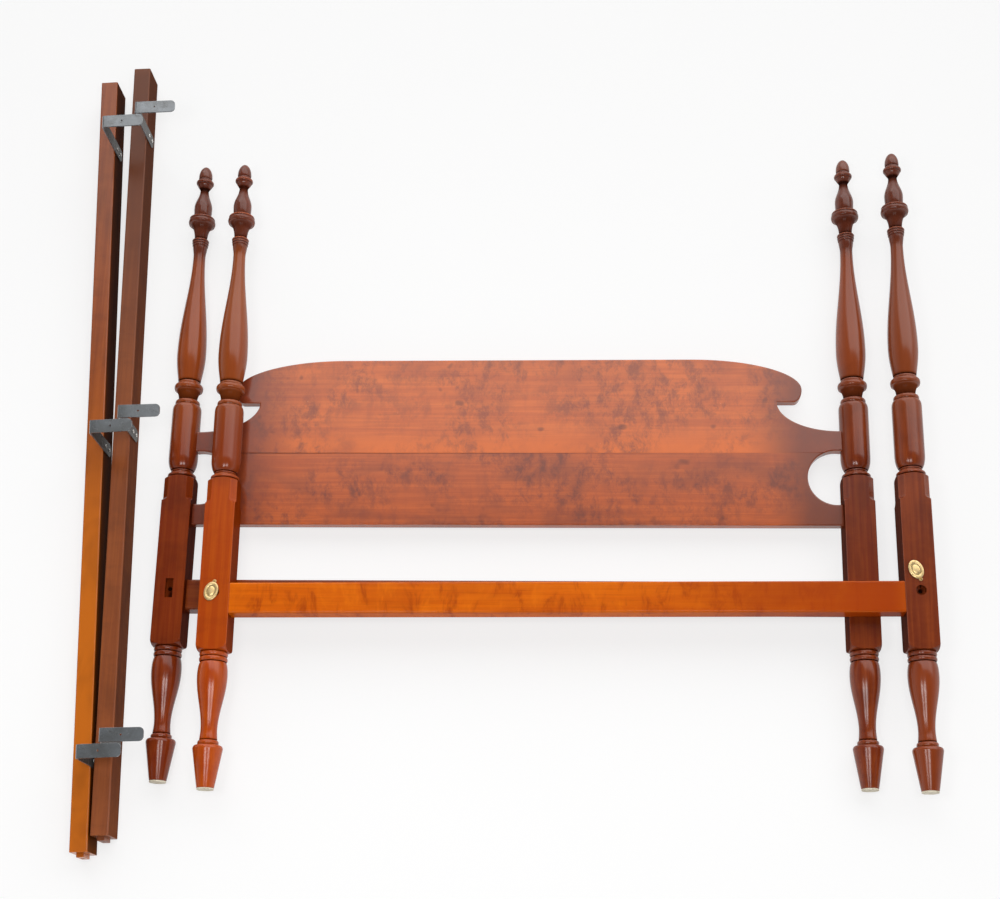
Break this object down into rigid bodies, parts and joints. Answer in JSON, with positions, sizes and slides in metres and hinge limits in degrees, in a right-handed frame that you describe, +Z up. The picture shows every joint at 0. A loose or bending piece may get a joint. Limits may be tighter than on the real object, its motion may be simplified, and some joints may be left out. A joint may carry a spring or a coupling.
{
  "type": "poster bed",
  "caption": "Turned poster bed taken apart and laid flat: scroll-cut headboard, footboard with rail and brass bolt covers, and side rails with steel foundation brackets.",
  "frame": {"origin": "on the floor, under the middle of the whole set as it lies", "axes": "+X across the bed to the right, +Y along the posts from their feet to their finials, +Z up from the floor"},
  "size_m": [2.0608, 2.0476, 0.19],
  "materials": {
    "head_post_wood": "glossy reddish brown varnish",
    "foot_post_wood": "glossy reddish brown varnish, warmer",
    "finial_wood": "glossy reddish brown varnish",
    "toe_pad": "pale felt",
    "panel_wood": "glossy reddish brown varnish with mottled grain",
    "head_rail_wood": "glossy reddish brown varnish",
    "foot_rail_wood": "glossy amber brown varnish",
    "cover_brass": "polished brass",
    "screw_brass": "polished brass",
    "side_rail_wood": "satin brown varnish",
    "bracket_steel": "dark raw mill finish",
    "screw_steel": "zinc plated",
    "nut_steel": "plain steel"
  },
  "bodies": {
    "headboard": {"head_post_left": "head_post_wood", "head_post_right": "head_post_wood", "head_finial_left": "finial_wood", "head_finial_right": "finial_wood", "head_toe_pad_left": "toe_pad", "head_toe_pad_right": "toe_pad", "head_panel_lower_board": "panel_wood", "head_panel_upper_board": "panel_wood", "head_rail": "head_rail_wood"},
    "footboard": {"foot_post_left": "foot_post_wood", "foot_post_right": "foot_post_wood", "foot_finial_left": "finial_wood", "foot_finial_right": "finial_wood", "foot_toe_pad_left": "toe_pad", "foot_toe_pad_right": "toe_pad", "foot_rail": "foot_rail_wood", "cover_screw_left": "screw_brass", "cover_screw_right": "screw_brass"},
    "cover_left": {"bolt_cover_left": "cover_brass"},
    "cover_right": {"bolt_cover_right": "cover_brass"},
    "rail_left": {"side_rail_left": "side_rail_wood", "left_bracket_foot": "bracket_steel", "left_bracket_middle": "bracket_steel", "left_bracket_head": "bracket_steel", "left_bracket_screws": "screw_steel", "left_rail_nuts": "nut_steel"},
    "rail_right": {"side_rail_right": "side_rail_wood", "right_bracket_foot": "bracket_steel", "right_bracket_middle": "bracket_steel", "right_bracket_head": "bracket_steel", "right_bracket_screws": "screw_steel", "right_rail_nuts": "nut_steel"}
  },
  "joints": [
    {"name": "footboard_lift", "type": "slide", "parent": "headboard", "child": "footboard", "axis": [0, 0, 1], "range_m": [0, 0.3]},
    {"name": "rail_left_lift", "type": "slide", "parent": "headboard", "child": "rail_left", "axis": [0, 0, 1], "range_m": [0, 0.3]},
    {"name": "rail_right_slide", "type": "slide", "parent": "headboard", "child": "rail_right", "axis": [-0.0333, 0.9994, 0], "range_m": [0, 0.5]},
    {"name": "cover_left_swing", "type": "hinge", "parent": "footboard", "child": "cover_left", "pos_m": [-0.62682, -0.38903, 0.1186], "axis": [0, 0, 1], "range_deg": [-144, 16]},
    {"name": "cover_right_swing", "type": "hinge", "parent": "footboard", "child": "cover_right", "pos_m": [0.99314, -0.37772, 0.1186], "axis": [0, 0, 1], "range_deg": [-2, 158]}
  ]
}
